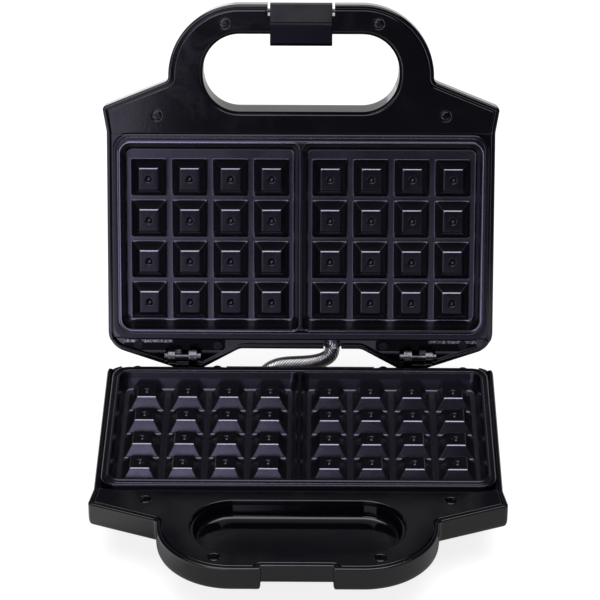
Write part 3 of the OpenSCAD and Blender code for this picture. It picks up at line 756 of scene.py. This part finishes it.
def plate_rim():
    """Rings of the outer edge, from the back of the casting over its rounded flange and the fine
    groove to the inner line of the raised bead."""
    edge = box_outline(PLATE_HW, PLATE_R0, PLATE_R1, 9.5, steps=10)
    groove = box_outline(107.1, 14.2, 131.4, 8.0, steps=10)
    bead = box_outline(106.6, 15.2, 129.25, 7.4, steps=10)
    back = [(3.6, 12.8), (3.4, 5.0), (0.3, 4.95), (0.0, 4.6), (0.0, 2.2)]
    over = back + [(i, z) for i, z in bend([0, 1.9], [0, RIM_Z], [1.3, RIM_Z], 6)]
    dip = bend([-0.5, RIM_Z], [-0.12, RIM_Z], [-0.1, RIM_Z + 0.45], 3) \
        + bend([0.1, RIM_Z + 0.45], [0.12, RIM_Z], [0.5, RIM_Z], 3)
    step = bend([-0.5, RIM_Z], [0.0, RIM_Z], [0.15, 0.5], 3) \
        + bend([0.15, 0.5], [0.3, BEAD_Z], [1.2, BEAD_Z], 4)[1:]
    return np.concatenate([edge.rings(over), groove.rings(dip), bead.rings(step)])


def waffle_plate():
    """Skin of a plate: rim, two cavities with drafted walls, and a field of dimpled studs. The
    second result is 1 for the points of each stud's rounded front edge, where the finish paints a
    highlight, and 0 elsewhere."""
    p = sizes("waffle_plate")
    skin = Skin()
    rim = plate_rim()
    skin.grid(rim, closed=True)
    skin.fan(rim[0], [0, -(PLATE_R0 + PLATE_R1) / 2, rim[0, 0, 2]])
    floor = p["floor_z"]
    wall = bend([-0.3, BEAD_Z], [0, BEAD_Z], [0.07, BEAD_Z + 0.9]) \
        + bend([0.9, floor - 1.2], [1.0, floor], [1.3, floor], 6)
    stud = stud_rings(p)
    around = stud.shape[1]
    starts = []
    lips = []
    for side in (-1, 1):
        rings = loft(cavity_outline("lip", side, 6.4, 4.2), cavity_outline("floor", side, 3.6, 2.6),
                     wall)
        skin.grid(rings, closed=True)
        lips.append(rings[0])
        feet = []
        for column in range(4):
            for row in range(4):
                at = np.array([side * (p["first_x"] + p["pitch_x"] * column),
                               -(p["first_r"] + p["pitch_y"] * row), 0.0])
                starts.append(skin.count)
                skin.grid(stud + at, closed=True)
                skin.fan(stud[-1] + at, stud[-1].mean(axis=0) + at)
                feet.append(stud[0] + at)
        skin.fill(rings[-1], feet, floor)
    skin.fill(rim[-1], lips, BEAD_Z)
    # the front edge of each stud, which the finish paints bright as a highlight
    ahead = stud[BRINK, :, 1]
    front = (ahead < ahead.min(axis=1, keepdims=True) + 0.4).ravel()
    brink_highlight = np.zeros(skin.count)
    for start in starts:
        brink_highlight[start + BRINK.start * around:start + BRINK.stop * around] = front
    return skin, brink_highlight


# ---- latch ----
# section about the pin, latched: [ahead, up, radius]; the dip from 7 to 8.6 mm down is the groove
CLIP = [[0.2, 3.8, 1.5], [2.6, 4.6, 1.0], [4.5, 4.4, 1.2], [4.5, -6.9, 0.3], [2.8, -7.2, 0.3],
        [2.9, -8.4, 0.3], [4.2, -8.7, 0.3], [3.7, -18.8, 1.2], [2.6, -20.3, 1.2],
        [-2.4, -20.3, 1.0], [-2.8, -19.0, 0.8], [1.6, -18.9, 0.5], [2.3, -9.0, 1.0],
        [2.1, -2.5, 0.8], [-1.4, -2.3, 0.6], [-2.6, 0.4, 1.2], [-1.9, 2.6, 1.2]]
FOLD = math.radians(80.0)             # from the latched angle to where the clip hangs at rest


def latch():
    """Skin of the clip, and each point's height above the pin when latched. Its section, with
    every corner rounded, is carried across with soft ends and turned about the pin by FOLD."""
    section = Outline(CLIP[::-1], mirrored=False)
    hw = sizes()["latch_w"] / 2
    ends = [(0.57, hw), (0.32, hw - 0.04), (0.12, hw - 0.18), (0.02, hw - 0.5)]
    rings = section.rings([(i, -z) for i, z in ends] + [(i, z) for i, z in ends[::-1]])
    ahead, up, x = np.moveaxis(rings, -1, 0)
    y, z = PIVOT[1:] - HINGE[1:]
    pin = (y * math.cos(OPEN) - z * math.sin(OPEN), y * math.sin(OPEN) + z * math.cos(OPEN))
    turned = np.stack([x, pin[0] - ahead * math.cos(FOLD) - up * math.sin(FOLD),
                       pin[1] - ahead * math.sin(FOLD) + up * math.cos(FOLD)], axis=-1)
    skin = Skin()
    skin.grid(turned, closed=True)
    heights = [up.ravel()]
    for ring, flat in ((turned[0], rings[0]), (turned[-1], rings[-1])):
        # the end is filled flat, then each of its points takes the place of its turned twin
        end = Skin()
        end.fill(flat, [], 0.0)
        apart = np.linalg.norm(flat[:, None, :2] - end.points[0][:, :2], axis=2)
        twin = apart.argmin(axis=0)
        skin.add(ring[twin], end.faces)
        heights.append(flat[twin, 1])
    return skin, np.concatenate(heights)


# ---- conduit ----
# from the lid's slot to the base's collar, in millimetres from the middle of the hinge axis
ROUTE = [[19, 12.2, 7.2], [19, 11.4, 5], [19, 10.4, 2.2], [18.8, 9.6, -0.8], [17.8, 9.2, -3.8],
         [15.4, 9.3, -6.4], [11.6, 9.6, -8.4], [7, 9.9, -9.7], [2, 10, -10.3], [-3, 10, -10.6],
         [-8, 9.8, -10.9], [-12.8, 9.4, -11.6], [-17, 8.4, -12.9], [-20.4, 6.8, -14.8],
         [-22.9, 4.6, -17.2], [-24.6, 2, -19.6], [-25, -1.6, -20.5], [-25, -6, -20.5]]
PATH_STRIDE = 20                      # every so many rings, one point of the cord's path
STRANDS = 14
STRAND_SIDES = 6                      # steps across one strand
STRAND_DEEP = 0.5                     # from the gap between two strands to their tops


def conduit():
    """Skin of the wound conduit, its centre line and each point's strand height h. The tube's
    radius is d / 2 - STRAND_DEEP (1 - h), with h = round(v) (0.85 + 0.15 round(u)) and round(w) =
    sqrt(1 - (2 frac(w) - 1)^2). u and v are STRANDS angle / 2 pi, plus and minus length / winding,
    so the strands lean one way and a faint second set crosses them."""
    s = sizes()
    centre = smooth_curve(ROUTE, 60) + HINGE
    step = np.linalg.norm(np.diff(centre, axis=0), axis=1)
    along = np.concatenate([[0], np.cumsum(step)])
    even = np.linspace(0, along[-1], int(along[-1] / s["winding"] * STRAND_SIDES))
    centre = np.stack([np.interp(even, along, centre[:, k]) for k in range(3)], axis=-1)
    ahead = unit(np.gradient(centre, axis=0))
    across = unit(np.cross(ahead, [0.0, 0.3, 1.0]))
    up = np.cross(across, ahead)
    angle = np.linspace(0, 2 * math.pi, STRANDS * STRAND_SIDES, endpoint=False)
    u, v = (STRANDS * angle[None] / (2 * math.pi) + turn * even[:, None] / s["winding"]
            for turn in (1, -1))
    round_u, round_v = (np.sqrt(np.maximum(1 - (2 * (w - np.floor(w)) - 1) ** 2, 0))
                        for w in (u, v))
    height = round_v * (0.85 + 0.15 * round_u)
    radius = s["conduit_d"] / 2 - STRAND_DEEP + STRAND_DEEP * height
    skin = Skin()
    skin.sweep(centre, across, up, np.stack([radius * np.cos(angle), radius * np.sin(angle)],
                                            axis=-1))
    caps = np.zeros(2 * (len(angle) + 1))
    return skin, centre[::PATH_STRIDE], np.concatenate([height.ravel(), caps])


# ---- finishes ----
def moulded_plastic(name, key, gloss=0.07):
    """Glossy black moulding: faint flow marks, fine scratches and smudges in its gloss; its tight
    edges are painted lighter, a painted highlight, and are rougher from wear.
    """
    shader = material(name)
    flow = shader.noise(28, detail=2, rough=0.4)
    smudge = shader.noise(55, detail=4, rough=0.62, warp=0.6)
    hair = shader.noise(900, detail=1, stretch=(0.12, 1.0, 1.0))
    sheen_and_wear = shader.edge_sheen_and_wear(0.0006)
    body = shader.mix(flow, tint(key, 0.7), tint(key))
    # painted highlight on tight edges, which are also rougher from wear
    body = shader.mix(sheen_and_wear * 0.4, body, tint(key, 3.0, 0.002))
    rough = gloss + 0.07 * shader.band(smudge, 0.45, 0.75) + 0.04 * shader.band(hair, 0.62, 0.8) \
        + 0.08 * sheen_and_wear
    normal = shader.bump(shader.noise(650, detail=2), 0.04, 0.0002)
    return shader.finish(Base_Color=body, Roughness=rough, Normal=normal, IOR=1.5)


def coated_metal(name, half):
    """Dark non-stick coating: palest on the floor between the studs, a painted reflection, darker on
    their sides and darkest on their tops, painted shade, with a fine orange peel and tiny flecks.
    Tight edges are painted lighter, a painted highlight, and rubbed smoother. The mark is 1 on the
    front edge of each stud, which is painted bright as a highlight."""
    shader = material(name)
    down = (0.0, 0.0, -1.0) if half == "base" else (0.0, math.sin(OPEN), math.cos(OPEN))
    depth = shader.vector("DOT_PRODUCT", shader.point(), down, output="Value") \
        - float(np.dot(HINGE, down)) * MM
    p = sizes("waffle_plate")
    floor, crown = p["floor_z"] * MM, (p["floor_z"] - p["stud_h"]) * MM
    peel = shader.noise(1500, detail=2, rough=0.55)
    fleck = shader.band(shader.noise(4200, detail=1, rough=0.4), 0.66, 0.74)
    patch = shader.band(shader.noise(60, detail=3, rough=0.55), 0.35, 0.7)
    # painted reflection: the floor between the studs is painted palest
    painted_valley_light = shader.band(depth, floor - 0.6 * MM, floor - 0.1 * MM)
    # painted shade: the stud tops are painted darkest and their sides darker than the floor
    top = shader.band(depth, crown + 0.9 * MM, crown + 0.2 * MM)
    sheen_and_wear = shader.edge_sheen_and_wear(0.0007)
    body = shader.mix(top, tint("coating", 0.75), tint("coating", 0.36))
    body = shader.mix(painted_valley_light, body, tint("coating"))
    body = shader.mix(patch * 0.22, body, tint("coating", 0.5))
    body = shader.mix(fleck * 0.35, body, tint("coating", 2.0))
    # painted highlight on tight edges, which are also rubbed smoother
    body = shader.mix(sheen_and_wear * 0.7, body, tint("coating", 3.2))
    # painted highlight: each stud's front edge, from the mark, is painted bright
    body = shader.mix(shader.mark(), body, tint("coating", 2.7))
    rough = 0.17 + 0.07 * patch + 0.05 * fleck - 0.05 * sheen_and_wear
    return shader.finish(Base_Color=body, Metallic=0.9, Roughness=rough,
                         Normal=shader.bump(peel, 0.05, 0.0002))


def bright_steel(name, key, rough=0.25, dull=0.5):
    """Bare steel with a fine grain and dull patches."""
    shader = material(name)
    drawn = shader.noise(2200, detail=2)
    patch = shader.noise(140, detail=3)
    body = shader.mix(shader.band(patch, 0.3, 0.75), tint(key), tint(key, dull))
    return shader.finish(Base_Color=body, Metallic=1.0,
                         Roughness=rough + 0.12 * shader.band(patch, 0.4, 0.8),
                         Normal=shader.bump(drawn, 0.08, 0.0001))


def braided_steel(name):
    """Bright steel strands; the gaps between them are painted dark as shade. The mark is the strand's height."""
    shader = material(name)
    raised = shader.band(shader.mark(), 0.55, 0.88)
    patch = shader.band(shader.noise(420, detail=2), 0.35, 0.7)
    body = shader.mix(patch, tint("winding"), tint("winding", 0.75))
    # painted shade: the gaps between the strands are painted near black
    body = shader.mix(raised, tint("winding", 0.02), body)
    return shader.finish(Base_Color=body, Metallic=1.0, Roughness=0.5 - 0.26 * raised,
                         Normal=shader.bump(shader.noise(2600, detail=2), 0.1, 0.0001))


def hinge_steel(name):
    """Hinge leaf: polished dark knuckle, blackened flange, and a bright strip painted along the top of its outer
    end as a highlight.
    """
    shader = material(name)
    offset = shader.vector("SUBTRACT", shader.point(), tuple(HINGE * [0, 1, 1] * MM))
    across = shader.vector("MULTIPLY", offset, (0.0, 1.0, 1.0))
    from_axis = shader.vector("LENGTH", across, output="Value")
    outer = shader.band(abs(shader.part(offset, 0)), 75.5 * MM, 76.5 * MM)
    flange = shader.band(from_axis, 5.3 * MM, 5.9 * MM)
    # painted highlight: a bright strip along the top of the flange's outer end
    strip = shader.band(from_axis, 8.9 * MM, 9.3 * MM) * outer
    grime = shader.band(shader.noise(700, detail=3, rough=0.6), 0.4, 0.62)
    body = shader.mix(flange, tint("hinge"), tint("hinge", 0.05))
    body = shader.mix(strip * (0.8 - 0.4 * grime), body, tint("steel", 0.55))
    body = shader.mix(0.5 * grime, body, tint("hinge", 0.1))
    return shader.finish(Base_Color=body, Metallic=1.0, Roughness=0.14 + 0.2 * grime,
                         Normal=shader.bump(shader.noise(1800, detail=2), 0.06, 0.0001))


def plain_finish(name, rgb, rough, metallic=0.0, strength=0.15):
    """Matt or satin finish with a fine grain."""
    shader = material(name)
    broad = shader.band(shader.noise(90), 0.3, 0.7)
    body = shader.mix(broad, (*(0.7 * c for c in rgb), 1.0), (*rgb, 1.0))
    return shader.finish(Base_Color=body, Metallic=metallic, Roughness=rough + 0.08 * broad,
                         Normal=shader.bump(shader.noise(1200, detail=2), strength, 0.0002))


def latch_satin(name):
    """Satin clip with a fine grain; its pull lip is made a near-black metal, painted shade. The mark
    is the height above the pin, so the lip is all that lies below the groove."""
    shader = material(name)
    lip = shader.band(shader.mark(), -7.7, -8.3)
    broad = shader.band(shader.noise(90), 0.3, 0.7)
    body = shader.mix(broad, tint("latch", 0.7), tint("latch"))
    # painted shade: the lip below the groove is made a near-black metal
    body = shader.mix(lip, body, tint("latch", 3.5))
    return shader.finish(Base_Color=body, Metallic=lip, Roughness=0.27 + 0.08 * broad,
                         Normal=shader.bump(shader.noise(1200, detail=2), 0.08, 0.0002))


# ---- stage ----
LENS_MM, SENSOR_MM = 177.92, 36.0
CAMERA_SPOT = (0.01287, -1.42409, 0.96836)
CAMERA_AIM = (-0.00074, 0.13084, 0.042)
COOL = (0.80, 0.77, 1.0)
FLOOR_HALF = 6                        # half the floor's width and depth, in metres
WALL_HALF, WALL_Y, WALL_TOP = 8, 5, 2.2             # backdrop, in metres
# name, spot, aim and size in metres, radiance, colour
LAMPS = (("key_lamp", (-0.47, -1.38, 0.75), (-0.1, 0.0, 0.1), (0.9, 0.34), 3.2, COOL),
         ("low_lamp", (-0.68, -1.60, 0.30), (-0.05, 0.1, 0.15), (1.0, 0.5), 1.25, COOL),
         ("strip_lamp", (0.0, -1.75, 0.11), (0, 0.0, 0.05), (2.4, 0.2), 0.8, COOL),
         ("top_lamp", (0.0, -0.35, 1.5), (0, -0.3, 0), (1.6, 1.7), 3.0, (0.95, 0.95, 1.0)))


def ray_kinds(shader):
    """Light Path outputs: 1 for rays from the camera or through glass, and 1 for reflections."""
    path = shader.node("ShaderNodeLightPath")
    seen = Value(shader, path.outputs["Is Camera Ray"])
    through = Value(shader, path.outputs["Is Transmission Ray"])
    return (seen + through).clip(), Value(shader, path.outputs["Is Glossy Ray"])


def aimed(name, data, spot, aim):
    """Object that stands at spot and looks at aim, in metres."""
    made = linked(name, data)
    made.location = spot
    made.rotation_euler = (Vector(aim) - Vector(spot)).to_track_quat("-Z", "Y").to_euler()
    return made


def area_lamp(name, spot, aim, size, radiance, shade):
    """Soft rectangular lamp of a given brightness: its power is 4 x radiance x area."""
    lamp = bpy.data.lights.new(name, "AREA")
    lamp.shape = "RECTANGLE"
    lamp.size, lamp.size_y = size
    lamp.energy = radiance * 4 * size[0] * size[1]
    lamp.color = shade
    aimed(name, lamp, spot, aim)


def sheet_of(name, corners, finish):
    """One flat four-cornered piece of the stage."""
    mesh = bpy.data.meshes.new(name)
    mesh.from_pydata(corners, [], [(0, 1, 2, 3)])
    mesh.materials.append(finish)
    linked(name, mesh)


def white_floor():
    """White floor that keeps a soft shadow, and looks dimmer in reflections near the front. In
    reflections it also glows brighter on the left, a painted pool of light, and darker near the
    object, a painted contact shadow from Ambient Occlusion.
    """
    shader = material("floor_white")
    seen, glossy = ray_kinds(shader)
    far = shader.band(shader.part(shader.point(), 1), -0.3, 1.6)
    matt = shader.value("ShaderNodeBsdfDiffuse", None, {"Color": (0.93, 0.93, 0.94, 1)})
    # painted contact shadow: the floor's glow in reflections darkens near the object
    contact_shade = shader.value("ShaderNodeAmbientOcclusion", {"samples": 4, "only_local": False},
                         {"Distance": 0.15}, output="AO")
    # painted pool of light: the floor's glow in reflections is brighter on the left
    left_glow = shader.band(shader.part(shader.point(), 0), -0.105, -0.14)
    level = 1.34 * seen + glossy * (0.55 + 0.5 * far + 0.7 * left_glow) * contact_shade
    glow = shader.value("ShaderNodeEmission", None, {"Strength": level})
    share = 0.62 * seen + 0.97 * glossy
    return shader.close(shader.value("ShaderNodeMixShader", None, {0: share, 1: matt, 2: glow}))


def white_backdrop():
    """White for the camera and in reflections, and dimmer as a light."""
    shader = material("backdrop_white")
    seen, glossy = ray_kinds(shader)
    level = 0.4 + 0.6 * (seen + glossy).clip()
    return shader.close(shader.value("ShaderNodeEmission", None, {"Strength": level}))


class WAFFLE_OT_stage(bpy.types.Operator):
    """Camera, white floor, backdrop, world and soft lamps"""
    bl_idname = "waffle.stage"
    bl_label = "Stage"

    def execute(self, context):
        camera = bpy.data.cameras.new("camera")
        camera.lens, camera.sensor_width = LENS_MM, SENSOR_MM
        camera.clip_start, camera.clip_end = 0.05, 30.0
        context.scene.camera = aimed("camera", camera, CAMERA_SPOT, CAMERA_AIM)
        context.scene.view_settings.view_transform = "Standard"

        world = bpy.data.worlds.new("studio")
        context.scene.world = world
        shader = Shader(world, "ShaderNodeOutputWorld")
        seen, glossy = ray_kinds(shader)
        tone = shader.mix(glossy, (1, 1, 1, 1), (0.94, 0.88, 1.25, 1))
        shader.close(shader.value("ShaderNodeBackground", None,
                                  {"Color": tone, "Strength": 0.15 + 0.85 * seen - 0.085 * glossy}))

        edge, side, y, top = FLOOR_HALF, WALL_HALF, WALL_Y, WALL_TOP
        sheet_of("floor", [(-edge, -edge, 0), (edge, -edge, 0), (edge, edge, 0), (-edge, edge, 0)],
                 white_floor())
        sheet_of("backdrop", [(-side, y, 0), (side, y, 0), (side, y, top), (-side, y, top)],
                 white_backdrop())
        for lamp in LAMPS:
            area_lamp(*lamp)
        return {"FINISHED"}


class WAFFLE_OT_conduit(bpy.types.Operator):
    """The steel-wound conduit between the halves"""
    bl_idname = "waffle.conduit"
    bl_label = "Conduit"

    def execute(self, context):
        skin, centre, height = conduit()
        made = dress(skin, "braided_conduit", None, "base", braided_steel("steel_braid"),
                     "flex_conduit", "conduit_winding", crease=80, mark=height)
        made.parent = None
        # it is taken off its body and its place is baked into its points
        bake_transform(made)
        sizes()["conduit_d"] * MM
        return {"FINISHED"}


class WAFFLE_OT_plates(bpy.types.Operator):
    """Both waffle plates"""
    bl_idname = "waffle.plates"
    bl_label = "Waffle plates"

    def execute(self, context):
        skin, brink_highlight = waffle_plate()
        for half, node in (("base", "lower_plate"), ("lid", "upper_plate")):
            dress(skin, node + "_cast", half, half, coated_metal("non_stick_coating_" + half, half),
                  node, "nonstick", crease=80, mark=brink_highlight)
        return {"FINISHED"}


class WAFFLE_OT_housings(bpy.types.Operator):
    """The two glossy mouldings"""
    bl_idname = "waffle.housings"
    bl_label = "Housings"

    def execute(self, context):
        finish = moulded_plastic("gloss_black_moulding", "shell")
        shelf = sizes()["shelf_z"]
        cuts = {"base": [((43.6, -4, -1), (105.6, 5, shelf)),
                         ((-105.6, -4, -1), (-43.6, 5, shelf))],
                "lid": [((-NOTCH_HW, -230, -1), (NOTCH_HW, -NOTCH_R["lid"], 30)), CONDUIT_SLOT]}
        for half in ("base", "lid"):
            dress(housing(half), half + "_moulding", half, half, finish, half + "_shell",
                  "black_shell", cuts=cuts[half])
        return {"FINISHED"}


class WAFFLE_OT_panels(bpy.types.Operator):
    """The two inset panels"""
    bl_idname = "waffle.panels"
    bl_label = "Panels"

    def execute(self, context):
        finish = moulded_plastic("gloss_black_panel", "panel", gloss=0.09)
        notch = NOTCH_HW + 1.5
        cuts = {"base": [], "lid": [((-notch, -230, -1), (notch, 0.4 - NOTCH_R["lid"], 30))]}
        for half in ("base", "lid"):
            dress(panel(half), half + "_inset_panel", half, half, finish, half + "_panel",
                  "black_panel", cuts=cuts[half])
        return {"FINISHED"}


class WAFFLE_OT_panel_screws(bpy.types.Operator):
    """The cross-slotted screws of the two panels"""
    bl_idname = "waffle.panel_screws"
    bl_label = "Panel screws"

    def execute(self, context):
        finish = plain_finish("blackened_screw", (0.04, 0.04, 0.045), 0.16, 1.0)
        skin, slots = panel_screws()
        for half in ("base", "lid"):
            dress(skin, half + "_cross_screws", half, half, finish, half + "_panel_screws",
                  "black_screw", cuts=slots)
        return {"FINISHED"}


class WAFFLE_OT_latch(bpy.types.Operator):
    """The latch clip, as it hangs at rest"""
    bl_idname = "waffle.latch"
    bl_label = "Latch clip"

    def execute(self, context):
        skin, height = latch()
        dress(skin, "latch_clip_moulding", "lid", "latch", latch_satin("latch_satin"),
              "latch_clip", "latch_grey", mark=height)
        return {"FINISHED"}


class WAFFLE_OT_cad_finishes(bpy.types.Operator):
    """Finishes for the CAD nodes that stay as they are"""
    bl_idname = "waffle.cad_finishes"
    bl_label = "Finishes of plain nodes"

    def execute(self, context):
        finishes = {
            "heater_steel": plain_finish("heater_sheath", (0.16, 0.14, 0.13), 0.4, 1.0),
            "reflector_steel": bright_steel("reflector_sheet", "winding", 0.2),
            "ceramic": plain_finish("ceramic", (0.62, 0.57, 0.48), 0.35),
            "zinc_screw": bright_steel("drawn_steel", "steel"),
            "black_screw": plain_finish("blackened_screw", (0.022, 0.022, 0.026), 0.25, 1.0),
            "rubber_foot": plain_finish("rubber", (0.02, 0.02, 0.02), 0.75),
            "hinge_black": hinge_steel("hinge_steel"),
            "pin_steel": bright_steel("polished_pin", "hinge", 0.12, dull=0.2),
            "gland_black": plain_finish("gland", (0.02, 0.02, 0.02), 0.5),
            "terminal_white": plain_finish("terminal_plastic", (0.70, 0.68, 0.62), 0.45),
            "red_lens": plain_finish("red_lens", (0.45, 0.015, 0.01), 0.12, strength=0.02),
            "green_lens": plain_finish("green_lens", (0.02, 0.30, 0.06), 0.12, strength=0.02),
        }
        slots = {row["node"]: row["material_slot"] for row in frame["record"]["subparts"]}
        for name, node in frame["nodes"].items():
            if slots[name] in finishes:
                node.data.materials.clear()
                node.data.materials.append(finishes[slots[name]])
        return {"FINISHED"}


class WAFFLE_PT_panel(bpy.types.Panel):
    """Lists the waffle maker's pieces"""
    bl_idname = "WAFFLE_PT_panel"
    bl_label = "Waffle maker"
    bl_space_type = "VIEW_3D"
    bl_region_type = "UI"
    bl_category = "Waffle maker"

    def draw(self, context):
        for operator in OPERATORS:
            self.layout.operator(operator.bl_idname)
        for name, group in GROUPS.items():
            box = self.layout.box()
            for key in group.__annotations__:
                box.prop(getattr(context.scene, name), key)


OPERATORS = (WAFFLE_OT_stage, WAFFLE_OT_conduit, WAFFLE_OT_plates, WAFFLE_OT_housings,
             WAFFLE_OT_panels, WAFFLE_OT_panel_screws, WAFFLE_OT_latch, WAFFLE_OT_cad_finishes)
CLASSES = (*GROUPS.values(), *OPERATORS, WAFFLE_PT_panel)


def register():
    for cls in CLASSES:
        bpy.utils.register_class(cls)
    for name, group in GROUPS.items():
        setattr(bpy.types.Scene, name, PointerProperty(type=group))


def unregister():
    for name in GROUPS:
        delattr(bpy.types.Scene, name)
    for cls in reversed(CLASSES):
        bpy.utils.unregister_class(cls)


def main():
    register()
    bpy.ops.waffle.stage()
    bpy.ops.waffle.conduit()
    bpy.ops.waffle.plates()
    bpy.ops.waffle.housings()
    bpy.ops.waffle.panels()
    bpy.ops.waffle.panel_screws()
    bpy.ops.waffle.latch()
    bpy.ops.waffle.cad_finishes()


if __name__ == "__main__":
    main()
